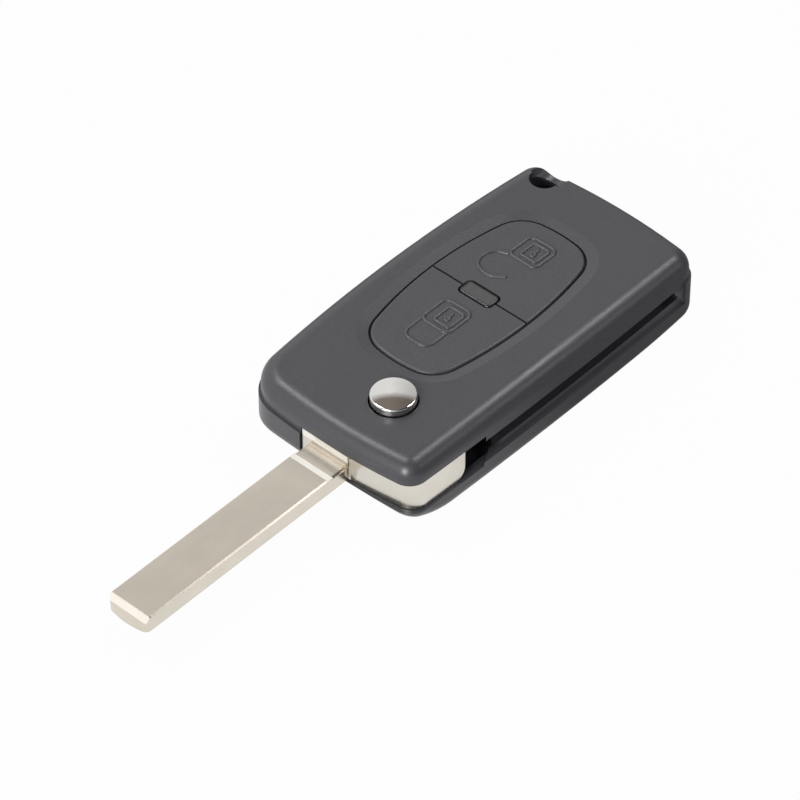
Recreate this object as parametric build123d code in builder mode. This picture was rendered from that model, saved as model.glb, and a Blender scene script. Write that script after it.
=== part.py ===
from build123d import *
import os

# A folding car key: a two-part moulded case with two keys on its oval pad, and a metal head
# that swings its blade out of a slot in the case's side. All sizes are in millimetres.
# +Z is up, the open blade points along -X, the slot faces -Y and the key ring sits at +X +Y.
# The origin is the middle of the flat underside. The pieces are drawn with the blade open.

# Case, seen from above
case_length = 74.4
case_width = 38.8
end_bow = 1.45
left_bow = 1.5
right_bow = 0.6
front_left_corner = 7.5
front_right_corner = 3.4
rear_left_corner = 3.4
rear_right_corner = 4.2
rim_step = 0.4

# Case, seen from the side
case_height = 14.5
top_arch = 0.7
top_edge_radius = 3.2
bottom_edge_radius = 2.5
inner_ease = 1.5
keel_front_length = 11.2
keel_rear_length = 17.2
keel_front_rise = 4.6
keel_rear_rise = 1.0
parting_drop = 5.5
eave_drop = 4.4
sill_height = 4.8
head_sill = 4.1

# Case, mouldings
wall = 1.4
rib_wall = 1.0
tongue_wall = 0.6
tongue_height = 0.8
slide_gap = 0.05
case_gap = 0.15

# Pivot of the folding head, measured from the case's front end and its open side
pivot_from_front = 11.9
pivot_from_side = 14.25
running_gap = 0.06

# Blade, measured from the pivot; folded, its tip stays inside the case's rear end
tip_room = 3.4
blade_width = 8.6
blade_thickness = 3.2
blade_offset = 3.65
blade_step = 16.6
nose_slope = 0.75
nose_ridge = 1.4
nose_bow = 0.6
nose_corner = 1.2
blade_edge = 0.25
tang_drop = 0.3
tang_slope = 1.3
tang_ledge_width = 0.45
tang_ledge_depth = 0.35
tang_bar_length = 0.5
tang_bar_height = 0.35
tang_end = 7.0
tang_tongue_width = 6.6
tang_tongue_height = 2.0
blade_clearance = 0.2
slot_end_gap = 0.25
channel_gap = 0.35

# Folding head
head_gap = 0.1
head_inset = 0.12
head_recess = 0.7
head_side_reach = 2.1
head_heel_radius = 2.5
hub_radius = 10.2
boss_front = 11.8
boss_width = 10.7
boss_offset = 4.1
boss_foot = 1.1
boss_undercut = 0.7
boss_gap = 0.3
boss_groove = 0.3
boss_groove_depth = 0.45
boss_groove_inset = 0.3
collar_radius = 5.9
collar_height = 2.6
bearing_wall = 1.1
pin_radius = 1.0
pin_place = 9.4
pin_inset = 0.3

# Release button, its plunger and the spring
button_radius = 4.0
button_gap = 0.25
button_rise = 1.4
button_crown = 0.35
button_edge = 0.3
button_travel = 1.8
plunger_radius = 4.8
plunger_wall = 0.8
plunger_roof = 1.7
plunger_depth = 4.2
spigot_radius = 2.0
spigot_depth = 1.2
lug_width = 3.0
lug_reach = 1.9
lug_height = 1.5
lug_gap = 0.15
notch_depth = 1.6
notch_gap = 0.3
spring_radius = 3.3
spring_wire = 0.8
spring_turns = 5
spring_post_radius = 2.3
spring_post_height = 2.9

# Key pad
pad_x = 2.8
pad_y = 1.3
pad_end_room = 16.4
pad_side_room = 8.9
pad_end_bow = 1.3
pad_side_bow = 2.6
pad_corner = 6.0
dish_width = 2.0
dish_depth = 0.4
key_gap = 0.35
key_drop = 0.15
key_edge = 0.35
key_travel = 0.5
split_from_board = 11.0
split_gap = 0.4
flange_reach = 0.7
flange_thickness = 0.65
flange_gap = 0.4
window_length = 3.2
window_width = 6.8
window_corner = 0.8
window_gap = 0.3
window_rise = 0.1

# Circuit board and what it carries
board_thickness = 1.0
board_drop = 6.9
board_from_pivot = 17.3
board_from_rear = 9.3
board_from_left = 2.4
board_gap = 0.2
board_corner = 1.0
switch_size = 4.5
switch_corner = 0.5
switch_height = 2.0
lock_switch_shift = -5.7
unlock_switch_shift = 9.7
switch_from_right = 4.25
pip_radius = 1.0
pip_length = 1.2
pip_gap = 0.2
key_foot_radius = 1.9
mat_thickness = 0.7
mat_front_room = 1.5
mat_rear_room = 4.4
mat_right_room = 0.45
mat_left_room = 6.1
mat_corner = 1.5
mat_skirt = 0.8
component_edge = 0.15
led_length = 1.6
led_width = 0.8
led_height = 0.6
chip_length = 6.0
chip_width = 3.9
chip_height = 1.2
chip_from_front = 15.7
chip_from_left = 3.0
resonator_length = 3.4
resonator_width = 1.8
resonator_height = 0.9
resonator_spacing = 7.5

# Coin cell and its contacts, under the board
cell_radius = 8.0
cell_thickness = 2.0
cell_edge = 0.2
cell_from_rear = 12.7
contact_thickness = 0.3
contact_radius = 5.0
contact_ring = 2.5
contact_arm = 1.6
strap_width = 5.0
strap_gap = 0.2

# Transponder chip in its pocket on the floor
transponder_length = 11.0
transponder_width = 5.5
transponder_height = 2.8
transponder_edge = 0.7
transponder_from_front = 8.7
transponder_from_left = 6.5
pocket_gap = 0.1
pocket_wall = 0.8
pocket_height = 1.8

# Bulkhead behind the swinging head
bulkhead_gap = 0.5
bulkhead_wall = 1.2
board_overlap = 0.4

# Board posts
post_radius = 1.6
peg_radius = 0.9
peg_rise = 0.5
peg_gap = 0.1
post_front_room = 2.9
post_room = 1.8

# Case screw
screw_from_rear = 5.6
screw_y = 3.5
screw_radius = 1.0
screw_head_radius = 1.9
screw_head_height = 1.1
screw_head_depth = 1.2
screw_length = 9.5
screw_gap = 0.1
screw_post_wall = 1.4
screw_slot_width = 0.5
screw_slot_depth = 0.4

# Key ring eye
ring_from_rear = 4.7
ring_from_left = 6.7
ring_radius = 2.6
ring_wall = 1.3
saddle_radius = 3.2
saddle_depth = 2.7

# Roof ribs over the folded blade, and the floor under it
rib_first = 21.0
rib_spacing = 8.0
tray_drop = 0.9

os.makedirs("parts", exist_ok=True)


def arch_drop(x):
    """How far the arched roof lies below its crown at a place along the case."""
    return top_arch * (x / (case_length / 2 + rim_step)) ** 2


def keel_rise(x):
    """How far the keel lies above its flat part at a place ahead of it."""
    run = keel_front_length + rim_step
    radius = (run**2 + keel_front_rise**2) / (2 * keel_front_rise)
    return radius - (radius**2 - (x + flat_front) ** 2) ** 0.5


# Heights and places that follow from the sizes above
flat_front = case_length / 2 - keel_front_length
flat_rear = case_length / 2 - keel_rear_length
parting_height = case_height - parting_drop
eave_height = case_height - eave_drop
pivot_x = pivot_from_front - case_length / 2
pivot_y = pivot_from_side - case_width / 2
pivot = (pivot_x, pivot_y)
blade_reach = case_length - pivot_from_front - tip_room
head_top = eave_height - head_gap
head_bottom = head_sill + case_gap
blade_bottom = sill_height + blade_clearance
blade_top = blade_bottom + blade_thickness
tang_top = blade_top - tang_drop
tang_y = pivot_y + blade_offset
boss_face = pivot_x - boss_front
boss_y = pivot_y + boss_offset
slot_radius = Vector(blade_reach, blade_offset).length + slot_end_gap
channel_wall = pivot_y - (blade_offset - blade_width / 2) + channel_gap
window_left = boss_y + boss_width / 2 + boss_gap
bearing_radius = collar_radius + running_gap
ring_bottom = eave_height + 2 * head_gap
collar_top = head_top + collar_height
well_floor = wall + keel_rise(pivot_x - bearing_radius) + slide_gap
ceiling = case_height - wall
plunger_top = ceiling - arch_drop(pivot_x - plunger_radius) - head_gap
plunger_foot = plunger_top - plunger_depth
plunger_bore = plunger_radius - plunger_wall
lug_top = ring_bottom - lug_gap
tongue_inset = wall - tongue_wall
pad_length = case_length - 2 * pad_end_room
pad_width = case_width - 2 * pad_side_room
board_seat = case_height - board_drop
board_top = board_seat + board_thickness
board_front = pivot_x + board_from_pivot
board_rear = case_length / 2 - board_from_rear
board_left = case_width / 2 - board_from_left
board_right = channel_wall + rib_wall + board_gap
switch_top = board_top + switch_height
pip_top = switch_top + key_travel + slide_gap
split_x = board_front + split_from_board
switch_y = board_right + switch_from_right
lock_switch_x = split_x + lock_switch_shift
unlock_switch_x = split_x + unlock_switch_shift
mat_length = board_rear - board_front - mat_front_room - mat_rear_room
mat_width = board_left - board_right - mat_left_room - mat_right_room
mat_x = board_front + mat_front_room + mat_length / 2
mat_y = board_right + mat_right_room + mat_width / 2
chip_x = board_front + chip_from_front
chip_y = board_left - chip_from_left
resonator_x = chip_x + resonator_spacing
cell_x = board_rear - cell_from_rear
cell_y = (board_left + board_right) / 2
transponder_x = board_front + transponder_from_front
transponder_y = board_left - transponder_from_left
post_places = [
    (board_front + post_front_room, board_left - post_room),
    (board_rear - post_room, board_right + post_room),
    (board_rear - post_room, board_left - post_room),
]
screw_x = case_length / 2 - screw_from_rear
ring_x = case_length / 2 - ring_from_rear
ring_y = case_width / 2 - ring_from_left
mat_top = switch_top + mat_thickness
flange_top = ceiling - flange_gap
flange_bottom = flange_top - flange_thickness
cell_top = board_seat - contact_thickness
cell_bottom = cell_top - cell_thickness
cut_reach = 2 * case_length


def outline(inset):
    """Plan of the case, pulled in by inset: four bowed sides with round corners."""
    x_end = case_length / 2 - inset
    y_side = case_width / 2 - inset
    x_corner = x_end - end_bow
    y_left = y_side - left_bow
    y_right = y_side - right_bow
    corners = [
        (front_right_corner, -x_corner, -y_right),
        (front_left_corner, -x_corner, y_left),
        (rear_left_corner, x_corner, y_left),
        (rear_right_corner, x_corner, -y_right),
    ]
    with BuildSketch() as plan:
        with BuildLine():
            ThreePointArc((-x_corner, -y_right), (-x_end, 0), (-x_corner, y_left))
            ThreePointArc((-x_corner, y_left), (0, y_side), (x_corner, y_left))
            ThreePointArc((x_corner, y_left), (x_end, 0), (x_corner, -y_right))
            ThreePointArc((x_corner, -y_right), (0, -y_side), (-x_corner, -y_right))
        make_face()
        for radius, x, y in corners:
            fillet(plan.vertices().sort_by_distance((x, y, 0))[0], radius - inset)
    return plan.sketch


def side_view(floor, roof):
    """Side view of the case between two heights: an arched roof over a keel that rises at the ends."""
    reach = case_length / 2 + rim_step
    with BuildSketch(Plane.XZ) as view:
        with BuildLine():
            crown = ThreePointArc((-reach, roof - top_arch), (0, roof), (reach, roof - top_arch))
            keel = Line((-flat_front, floor), (flat_rear, floor))
            front = TangentArc(keel @ 0, (-reach, floor + keel_front_rise), tangent=(-1, 0))
            rear = TangentArc(keel @ 1, (reach, floor + keel_rear_rise), tangent=(1, 0))
            Line(front @ 1, crown @ 0)
            Line(rear @ 1, crown @ 1)
        make_face()
    return view.sketch


def case_form(inset, floor, roof):
    """The closed form of the whole case, pulled in by inset, with its top and bottom edges rounded."""
    with BuildPart() as form:
        with BuildSketch():
            add(outline(inset))
        extrude(amount=case_height)
        extrude(side_view(floor, roof), amount=case_width, both=True, mode=Mode.INTERSECT)
        crown = form.faces().sort_by(Axis.Z)[-1]
        fillet(crown.edges(), top_edge_radius - inner_ease * max(inset, 0))
        low = form.edges().filter_by(lambda edge: edge.center().Z < floor + keel_front_rise)
        fillet(low.filter_by(Axis.Y, reverse=True), bottom_edge_radius - max(inset, 0))
    return form.part


def pad_outline(grow):
    """Plan of the oval pad, let out by grow."""
    x_end = pad_length / 2 + grow
    y_side = pad_width / 2 + grow
    x_corner = x_end - pad_end_bow
    y_corner = y_side - pad_side_bow
    with BuildSketch() as plan:
        with BuildLine():
            ThreePointArc((-x_corner, -y_corner), (-x_end, 0), (-x_corner, y_corner))
            ThreePointArc((-x_corner, y_corner), (0, y_side), (x_corner, y_corner))
            ThreePointArc((x_corner, y_corner), (x_end, 0), (x_corner, -y_corner))
            ThreePointArc((x_corner, -y_corner), (0, -y_side), (-x_corner, -y_corner))
        make_face()
        fillet(plan.vertices(), pad_corner + grow)
    return plan.sketch.moved(Location((pad_x, pad_y)))


def open_side():
    """Plan of the case's open side: the front corner and the slot that the blade's tip sweeps into."""
    with BuildSketch() as plan:
        with Locations(pivot):
            Circle(slot_radius)
        with BuildLine():
            Polyline(
                (-cut_reach, -cut_reach),
                (cut_reach, -cut_reach),
                (cut_reach, channel_wall),
                (pivot_x, channel_wall),
                (pivot_x, window_left),
                (-cut_reach, window_left),
                close=True,
            )
        make_face(mode=Mode.INTERSECT)
    return plan.sketch


def head_block():
    """Plan of the head's corner block: the case's own corner, set back a little at the front."""
    with BuildSketch() as plan:
        add(outline(head_inset).moved(Location((head_recess, 0))))
        with BuildLine():
            Polyline(
                (-cut_reach, -cut_reach),
                (pivot_x + head_side_reach, -cut_reach),
                (pivot_x + head_side_reach, boss_y),
                (-cut_reach, boss_y),
                close=True,
            )
        make_face(mode=Mode.INTERSECT)
    return plan.sketch


def save(part, name):
    """Label a finished piece and write its file."""
    part.label = name
    export_step(part, f"parts/{name}.step")


outer_upper = case_form(0, 0, case_height)
outer_lower = case_form(-rim_step, 0, case_height)
inner = case_form(wall, wall, ceiling)
middle = case_form(wall / 2, wall / 2, case_height - wall / 2)

# The head's corner block sweeps a circle round the pivot, and the bulkhead stands clear of it
block_points = [edge @ t for edge in head_block().edges() for t in (0, 0.5, 1)]
head_swing = max((point - Vector(pivot_x, pivot_y)).length for point in block_points)
bulkhead_radius = head_swing + bulkhead_gap
rib_count = int((slot_radius - rib_first) // rib_spacing) + 1
rib_places = [(pivot_x + rib_first + rib_spacing * i, 0) for i in range(rib_count)]

# Part of the open side that the head sweeps, where the roof is higher and the sill lower than at the slot
with BuildSketch() as head_zone:
    with Locations(pivot):
        Circle(head_swing + head_gap)
    with Locations((pivot_x - cut_reach / 2, pivot_y)):
        Rectangle(cut_reach, cut_reach)
    add(open_side(), mode=Mode.INTERSECT)

# Channel that the folded blade lies in, beside the bulkhead
with BuildSketch() as channel:
    add(open_side())
    with Locations((pivot_x + cut_reach / 2, pivot_y)):
        Rectangle(cut_reach, cut_reach, mode=Mode.INTERSECT)
    with Locations(pivot):
        Circle(bulkhead_radius, mode=Mode.SUBTRACT)

# Partition between the channel and the electronics, round the channel's rear end too
with BuildSketch() as partition:
    with Locations(pivot):
        Circle(slot_radius + rib_wall)
    with Locations((pivot_x + cut_reach / 2, channel_wall + rib_wall - cut_reach / 2)):
        Rectangle(cut_reach, cut_reach, mode=Mode.INTERSECT)
    add(open_side(), mode=Mode.SUBTRACT)
    with Locations(pivot):
        Circle(bulkhead_radius, mode=Mode.SUBTRACT)

# Upper case: bearing ring, slot roof with its ribs, ring-eye tube and screw post under its roof
with BuildPart() as upper_ribs:
    with BuildSketch(Plane.XY.offset(parting_height)):
        add(channel.sketch)
    extrude(amount=rib_wall)
    with BuildSketch(Plane.XY.offset(parting_height)):
        with Locations((0, channel_wall - case_width / 2)):
            with Locations(rib_places):
                Rectangle(rib_wall, case_width)
    extrude(amount=case_height)
    with BuildSketch(Plane.XY.offset(flange_bottom - key_travel - flange_gap)):
        add(pad_outline(flange_reach + key_gap))
    extrude(amount=case_height, mode=Mode.SUBTRACT)
    with BuildSketch(Plane.XY.offset(ring_bottom)):
        with Locations(pivot):
            Circle(bearing_radius + bearing_wall)
            Circle(bearing_radius, mode=Mode.SUBTRACT)
            Rectangle(2 * cut_reach, lug_width + 2 * notch_gap, mode=Mode.SUBTRACT)
    extrude(amount=notch_depth)
    with BuildSketch(Plane.XY.offset(ring_bottom + notch_depth)):
        with Locations(pivot):
            Circle(bearing_radius + bearing_wall)
            Circle(bearing_radius, mode=Mode.SUBTRACT)
    extrude(amount=case_height)
    with BuildSketch(Plane.XY.offset(parting_height)):
        with Locations((ring_x, ring_y)):
            Circle(ring_radius + ring_wall)
        with Locations((screw_x, screw_y)):
            Circle(screw_radius + screw_post_wall)
    extrude(amount=case_height)
    add(middle, mode=Mode.INTERSECT)
    with BuildSketch(Plane.XY.offset(parting_height)):
        with Locations((screw_x, screw_y)):
            Circle(screw_radius)
    extrude(amount=screw_length - parting_height + screw_head_depth + screw_gap, mode=Mode.SUBTRACT)

with BuildPart() as upper_case:
    add(outer_upper)
    add(inner, mode=Mode.SUBTRACT)
    with BuildSketch():
        Rectangle(2 * cut_reach, 2 * cut_reach)
    extrude(amount=parting_height, mode=Mode.SUBTRACT)
    with BuildSketch():
        add(head_zone.sketch)
    extrude(amount=eave_height, mode=Mode.SUBTRACT)
    add(upper_ribs.part)
    with BuildSketch(Plane.XY.offset(parting_height)):
        add(outline(tongue_inset - slide_gap))
        add(outline(wall + slide_gap), mode=Mode.SUBTRACT)
        add(open_side(), mode=Mode.SUBTRACT)
    extrude(amount=tongue_height + slide_gap, mode=Mode.SUBTRACT)
    with BuildSketch(Plane.XY.offset(ceiling - wall)):
        add(pad_outline(key_gap))
    extrude(amount=case_height, mode=Mode.SUBTRACT)
    roof_face = upper_case.faces().filter_by(lambda face: face.center().Z > ceiling).sort_by(SortBy.AREA)[-1]
    pad_edges = roof_face.inner_wires()[0].edges()
    chamfer(pad_edges, length=dish_width, length2=dish_depth, reference=roof_face)
    with BuildSketch(Plane.XY.offset(ceiling - wall)):
        with Locations(pivot):
            Circle(button_radius + button_gap)
    extrude(amount=case_height, mode=Mode.SUBTRACT)
    with BuildSketch(Plane.XY.offset(parting_height)):
        with Locations((ring_x, ring_y)):
            Circle(ring_radius)
    extrude(amount=case_height, mode=Mode.SUBTRACT)
    saddle_axis = case_height - arch_drop(ring_x) - saddle_depth + saddle_radius
    with BuildSketch(Plane.YZ.offset(ring_x)):
        with Locations((ring_y, saddle_axis)):
            Circle(saddle_radius)
    extrude(amount=cut_reach, mode=Mode.SUBTRACT)
save(upper_case.part, "upper_case")

# Lower case: bearing ring, spring post, blade tray, bulkhead, board posts and pocket on its floor
with BuildPart() as lower_ribs:
    with BuildSketch():
        with Locations(pivot):
            Circle(bearing_radius + bearing_wall)
    extrude(amount=head_sill - head_gap)
    with BuildSketch(Plane.XY.offset(well_floor)):
        with Locations(pivot):
            Circle(bearing_radius)
    extrude(amount=sill_height, mode=Mode.SUBTRACT)
    with BuildSketch(Plane.XY.offset(well_floor)):
        with Locations(pivot):
            Circle(spring_post_radius)
    extrude(amount=spring_post_height)
    with BuildSketch(Plane.XY.offset(sill_height - tray_drop - rib_wall)):
        add(channel.sketch)
    extrude(amount=rib_wall)
    with BuildSketch():
        add(partition.sketch)
    extrude(amount=parting_height)
    with BuildSketch():
        with Locations(pivot):
            Circle(bulkhead_radius + bulkhead_wall)
            Circle(bulkhead_radius, mode=Mode.SUBTRACT)
        with Locations((pivot_x + cut_reach / 2, channel_wall + cut_reach / 2)):
            Rectangle(cut_reach, cut_reach, mode=Mode.INTERSECT)
    extrude(amount=board_seat)
    with BuildSketch():
        with Locations(post_places):
            Circle(post_radius)
    extrude(amount=board_seat)
    with BuildSketch():
        with Locations(post_places):
            Circle(peg_radius)
    extrude(amount=board_top + peg_rise)
    with BuildSketch():
        with Locations((transponder_x, transponder_y)):
            Rectangle(
                transponder_length + 2 * (pocket_gap + pocket_wall),
                transponder_width + 2 * (pocket_gap + pocket_wall),
            )
            Rectangle(
                transponder_length + 2 * pocket_gap,
                transponder_width + 2 * pocket_gap,
                mode=Mode.SUBTRACT,
            )
    extrude(amount=wall + pocket_height)
    with BuildSketch():
        with Locations((ring_x, ring_y)):
            Circle(ring_radius + ring_wall)
        with Locations((screw_x, screw_y)):
            Circle(screw_head_radius + screw_gap + rib_wall)
    extrude(amount=parting_height)
    add(middle, mode=Mode.INTERSECT)

with BuildPart() as lower_case:
    add(outer_lower)
    add(inner, mode=Mode.SUBTRACT)
    with BuildSketch(Plane.XY.offset(parting_height)):
        Rectangle(2 * cut_reach, 2 * cut_reach)
    extrude(amount=case_height, mode=Mode.SUBTRACT)
    with BuildSketch(Plane.XY.offset(parting_height)):
        add(outline(tongue_inset))
        add(outline(wall), mode=Mode.SUBTRACT)
    extrude(amount=tongue_height)
    with BuildSketch(Plane.XY.offset(sill_height)):
        add(open_side())
    extrude(amount=case_height, mode=Mode.SUBTRACT)
    with BuildSketch(Plane.XY.offset(head_sill)):
        add(head_zone.sketch)
    extrude(amount=case_height, mode=Mode.SUBTRACT)
    add(lower_ribs.part)
    with BuildSketch():
        with Locations((ring_x, ring_y)):
            Circle(ring_radius)
        with Locations((screw_x, screw_y)):
            Circle(screw_radius + screw_gap)
    extrude(amount=case_height, mode=Mode.SUBTRACT)
    with BuildSketch():
        with Locations((screw_x, screw_y)):
            Circle(screw_head_radius + screw_gap)
    extrude(amount=screw_head_depth + screw_head_height, mode=Mode.SUBTRACT)
save(lower_case.part, "lower_case")


# Keys: one for each half of the oval pad, cut out round the small window between them
def key(side):
    """One half of the pad: side is -1 for the key at the head and 1 for the key at the ring."""
    switch_x = lock_switch_x if side < 0 else unlock_switch_x
    with BuildSketch() as half:
        with Locations((split_x + side * (split_gap / 2 + cut_reach / 2), pad_y)):
            Rectangle(cut_reach, cut_reach)
        with Locations((split_x, pad_y)):
            RectangleRounded(
                window_length + 2 * window_gap,
                window_width + 2 * window_gap,
                window_corner + window_gap,
                mode=Mode.SUBTRACT,
            )
    with BuildPart() as piece:
        with BuildSketch(Plane.XY.offset(flange_bottom)):
            add(pad_outline(0))
        extrude(amount=case_height - flange_bottom)
        extrude(
            side_view(0, case_height - key_drop), amount=case_width, both=True, mode=Mode.INTERSECT
        )
        fillet(piece.faces().sort_by(Axis.Z)[-1].edges(), key_edge)
        extrude(half.sketch, amount=case_height, mode=Mode.INTERSECT)
        with BuildSketch(Plane.XY.offset(flange_bottom)):
            add(pad_outline(flange_reach))
            add(half.sketch, mode=Mode.INTERSECT)
            with Locations(pivot):
                Circle(bearing_radius + bearing_wall + key_gap, mode=Mode.SUBTRACT)
        extrude(amount=flange_thickness)
        with BuildSketch(Plane.XY.offset(pip_top)):
            with Locations((switch_x, switch_y)):
                Circle(key_foot_radius)
        extrude(amount=flange_bottom - pip_top)
    return piece.part


save(key(-1), "lock_key")
save(key(1), "unlock_key")

# Window between the keys, standing on the rubber mat
with BuildPart() as centre_window:
    with BuildSketch(Plane.XY.offset(mat_top)):
        with Locations((split_x, pad_y)):
            RectangleRounded(window_length, window_width, window_corner)
    extrude(amount=case_height - key_drop + window_rise - mat_top)
    fillet(centre_window.faces().sort_by(Axis.Z)[-1].edges(), key_edge)
save(centre_window.part, "centre_window")

# Rubber mat over the board, with a hole for each switch and for the lamp
with BuildPart() as keypad_membrane:
    with BuildSketch(Plane.XY.offset(board_top)):
        with Locations((mat_x, mat_y)):
            RectangleRounded(mat_length, mat_width, mat_corner)
    extrude(amount=mat_top - board_top)
    with BuildSketch(Plane.XY.offset(board_top)):
        with Locations((mat_x, mat_y)):
            RectangleRounded(
                mat_length - 2 * mat_skirt, mat_width - 2 * mat_skirt, mat_corner - mat_skirt
            )
    extrude(amount=switch_top - board_top, mode=Mode.SUBTRACT)
    with BuildSketch(Plane.XY.offset(board_top)):
        with Locations((lock_switch_x, switch_y), (unlock_switch_x, switch_y)):
            Circle(key_foot_radius + key_gap)
        with Locations((split_x, pad_y)):
            Circle(led_length / 2)
    extrude(amount=case_height, mode=Mode.SUBTRACT)
save(keypad_membrane.part, "keypad_membrane")

# Circuit board, rounded where it meets the bulkhead
with BuildPart() as circuit_board:
    with BuildSketch(Plane.XY.offset(board_seat)):
        with Locations(((board_front + board_rear) / 2, (board_right + board_left) / 2)):
            RectangleRounded(board_rear - board_front, board_left - board_right, board_corner)
        with Locations(pivot):
            Circle(bulkhead_radius + board_overlap, mode=Mode.SUBTRACT)
        with Locations(post_places):
            Circle(peg_radius + peg_gap, mode=Mode.SUBTRACT)
    extrude(amount=board_thickness)
save(circuit_board.part, "circuit_board")


def block_on_board(x, y, length, width, height):
    """A plain soldered component standing on the board."""
    with BuildPart() as piece:
        with BuildSketch(Plane.XY.offset(board_top)):
            with Locations((x, y)):
                Rectangle(length, width)
        extrude(amount=height)
        chamfer(piece.faces().sort_by(Axis.Z)[-1].edges(), component_edge)
    return piece.part


def switch_housing(x):
    """A push switch with the round well that its plunger slides in."""
    with BuildPart() as piece:
        with BuildSketch(Plane.XY.offset(board_top)):
            with Locations((x, switch_y)):
                RectangleRounded(switch_size, switch_size, switch_corner)
        extrude(amount=switch_height)
        with BuildSketch(Plane.XY.offset(switch_top)):
            with Locations((x, switch_y)):
                Circle(pip_radius + pip_gap)
        extrude(amount=-pip_length, mode=Mode.SUBTRACT)
    return piece.part


def switch_plunger(x):
    """The small plunger that a key's foot rests on."""
    with BuildPart() as piece:
        with BuildSketch(Plane.XY.offset(pip_top - pip_length)):
            with Locations((x, switch_y)):
                Circle(pip_radius)
        extrude(amount=pip_length)
    return piece.part


save(switch_housing(lock_switch_x), "lock_switch")
save(switch_housing(unlock_switch_x), "unlock_switch")
save(switch_plunger(lock_switch_x), "lock_switch_plunger")
save(switch_plunger(unlock_switch_x), "unlock_switch_plunger")
save(block_on_board(split_x, pad_y, led_width, led_length, led_height), "indicator_led")
save(block_on_board(chip_x, chip_y, chip_length, chip_width, chip_height), "controller_chip")
save(
    block_on_board(resonator_x, chip_y, resonator_length, resonator_width, resonator_height),
    "resonator",
)

# Coin cell between its two contacts, hung under the board
with BuildPart() as coin_cell:
    with BuildSketch(Plane.XY.offset(cell_bottom)):
        with Locations((cell_x, cell_y)):
            Circle(cell_radius)
    extrude(amount=cell_thickness)
    chamfer(coin_cell.edges(), cell_edge)
save(coin_cell.part, "coin_cell")

with BuildPart() as cell_contact_minus:
    with BuildSketch(Plane.XY.offset(cell_top)):
        with Locations((cell_x, cell_y)):
            Circle(contact_radius)
            Circle(contact_ring, mode=Mode.SUBTRACT)
            Rectangle(contact_radius + contact_ring, contact_arm)
    extrude(amount=contact_thickness)
save(cell_contact_minus.part, "cell_contact_minus")

with BuildPart() as cell_contact_plus:
    with BuildSketch(Plane.XZ.offset(-cell_y)):
        with BuildLine():
            half_span = cell_radius + strap_gap
            Polyline(
                (cell_x - half_span, board_seat),
                (cell_x - half_span, cell_bottom),
                (cell_x + half_span, cell_bottom),
                (cell_x + half_span, board_seat),
                (cell_x + half_span + contact_thickness, board_seat),
                (cell_x + half_span + contact_thickness, cell_bottom - contact_thickness),
                (cell_x - half_span - contact_thickness, cell_bottom - contact_thickness),
                (cell_x - half_span - contact_thickness, board_seat),
                close=True,
            )
        make_face()
    extrude(amount=strap_width / 2, both=True)
save(cell_contact_plus.part, "cell_contact_plus")

# Transponder chip lying in its pocket
with BuildPart() as transponder_chip:
    with BuildSketch(Plane.XY.offset(wall)):
        with Locations((transponder_x, transponder_y)):
            Rectangle(transponder_length, transponder_width)
    extrude(amount=transponder_height)
    chamfer(transponder_chip.edges().filter_by(Axis.Z), transponder_edge)
save(transponder_chip.part, "transponder_chip")

# Case screw, up through the lower case into the upper case's post
with BuildPart() as case_screw:
    with BuildSketch(Plane.XY.offset(screw_head_depth)):
        with Locations((screw_x, screw_y)):
            Circle(screw_head_radius)
    extrude(amount=screw_head_height)
    with BuildSketch(Plane.XY.offset(screw_head_depth)):
        with Locations((screw_x, screw_y)):
            Circle(screw_radius)
    extrude(amount=screw_length)
    with BuildSketch(Plane.XY.offset(screw_head_depth)):
        with Locations((screw_x, screw_y)):
            Rectangle(2 * screw_head_radius - screw_slot_width, screw_slot_width)
            Rectangle(screw_slot_width, 2 * screw_head_radius - screw_slot_width)
    extrude(amount=screw_slot_depth, mode=Mode.SUBTRACT)
save(case_screw.part, "case_screw")

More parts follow.
